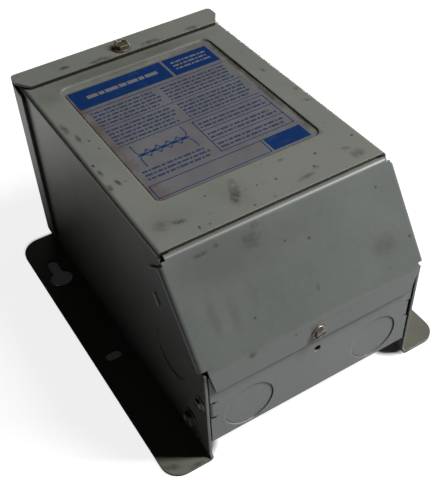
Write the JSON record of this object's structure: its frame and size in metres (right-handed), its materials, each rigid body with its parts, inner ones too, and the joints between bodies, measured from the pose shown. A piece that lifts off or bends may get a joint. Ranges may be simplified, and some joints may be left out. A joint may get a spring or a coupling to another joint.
{
  "type": "dry-type transformer",
  "caption": "Small encapsulated dry-type transformer in a bent steel case with mounting flanges, a sloped wiring cover, a far end cap and conduit knockouts.",
  "frame": {"origin": "bottom centre of the bounding box, on the mounting plane under the flanges", "axes": "+Z out of the mounting plane towards the front panel, +Y towards the capped end, -Y towards the wiring end, +X across"},
  "size_m": [0.1376, 0.1632, 0.0972],
  "materials": {
    "case_enamel": "grey baking enamel on sheet steel, scuffed",
    "potting": "cast black potting compound with silica filler",
    "plate": "blank rating plate, printed in two tones with no words",
    "aged_zinc": "yellowed zinc plate",
    "zinc": "bright zinc plate"
  },
  "bodies": {
    "root": {"case_wrap": "case_enamel", "back_tray": "case_enamel", "wiring_cover": "case_enamel", "end_cap": "case_enamel", "left_bottom_knockout": "case_enamel", "right_bottom_knockout": "case_enamel", "left_side_knockout": "case_enamel", "right_side_knockout": "case_enamel", "core_block": "potting", "rating_plate": "plate", "end_cap_screw": "aged_zinc", "cover_screw": "zinc", "left_tab_screw": "zinc", "right_tab_screw": "zinc", "left_foot_screw": "aged_zinc", "right_foot_screw": "aged_zinc"}
  },
  "joints": []
}
